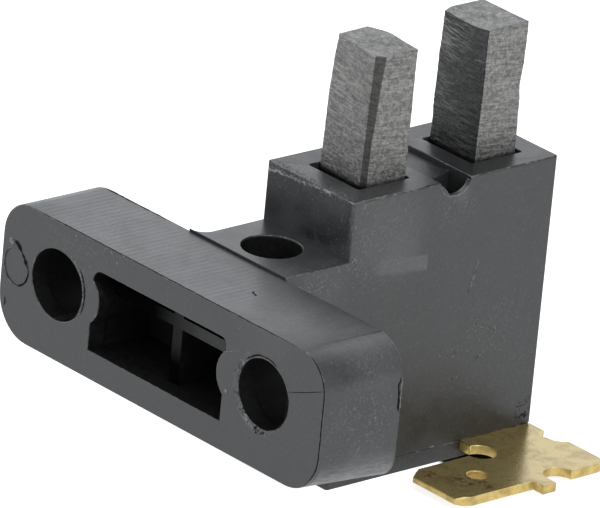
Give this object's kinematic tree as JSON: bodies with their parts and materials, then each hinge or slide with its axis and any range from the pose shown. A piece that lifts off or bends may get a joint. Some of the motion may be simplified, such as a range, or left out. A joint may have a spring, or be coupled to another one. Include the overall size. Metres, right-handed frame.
{
  "type": "carbon brush holder",
  "caption": "Moulded holder with a two-hole screw flange, sprung carbon brushes that press on slip rings, and brass blade terminals.",
  "frame": {"origin": "on the flange's front face, midway between the two screw holes, at the height of their axes", "axes": "-Y leaves the flange's front face along the screw holes; +X runs along the flange; +Z is the way the brushes point"},
  "size_m": [0.0388, 0.0359, 0.0355],
  "materials": {
    "moulding": "satin moulded dark grey, scuffed",
    "carbon": "sawn carbon graphite, matt with a slight metallic sheen",
    "brass": "stamped sheet brass, slightly tarnished",
    "spring_steel": "drawn wire",
    "copper": "bare copper braid"
  },
  "bodies": {
    "holder": {"holder_body": "moulding", "base_cover": "moulding", "terminal_near": "brass", "terminal_far": "brass", "spring_front": "spring_steel", "spring_rear": "spring_steel", "shunt_front": "copper", "shunt_rear": "copper"},
    "front_brush": {"brush_front": "carbon"},
    "rear_brush": {"brush_rear": "carbon"}
  },
  "joints": [
    {"name": "front_brush_slide", "type": "slide", "parent": "holder", "child": "front_brush", "axis": [0, 0, -1], "range_m": [0, 0.0095], "stiffness_N_per_m": 250, "springref_m": -0.006, "deforming": ["spring_front", "shunt_front"]},
    {"name": "rear_brush_slide", "type": "slide", "parent": "holder", "child": "rear_brush", "axis": [0, 0, -1], "range_m": [0, 0.0095], "stiffness_N_per_m": 250, "springref_m": -0.006, "deforming": ["spring_rear", "shunt_rear"]}
  ]
}
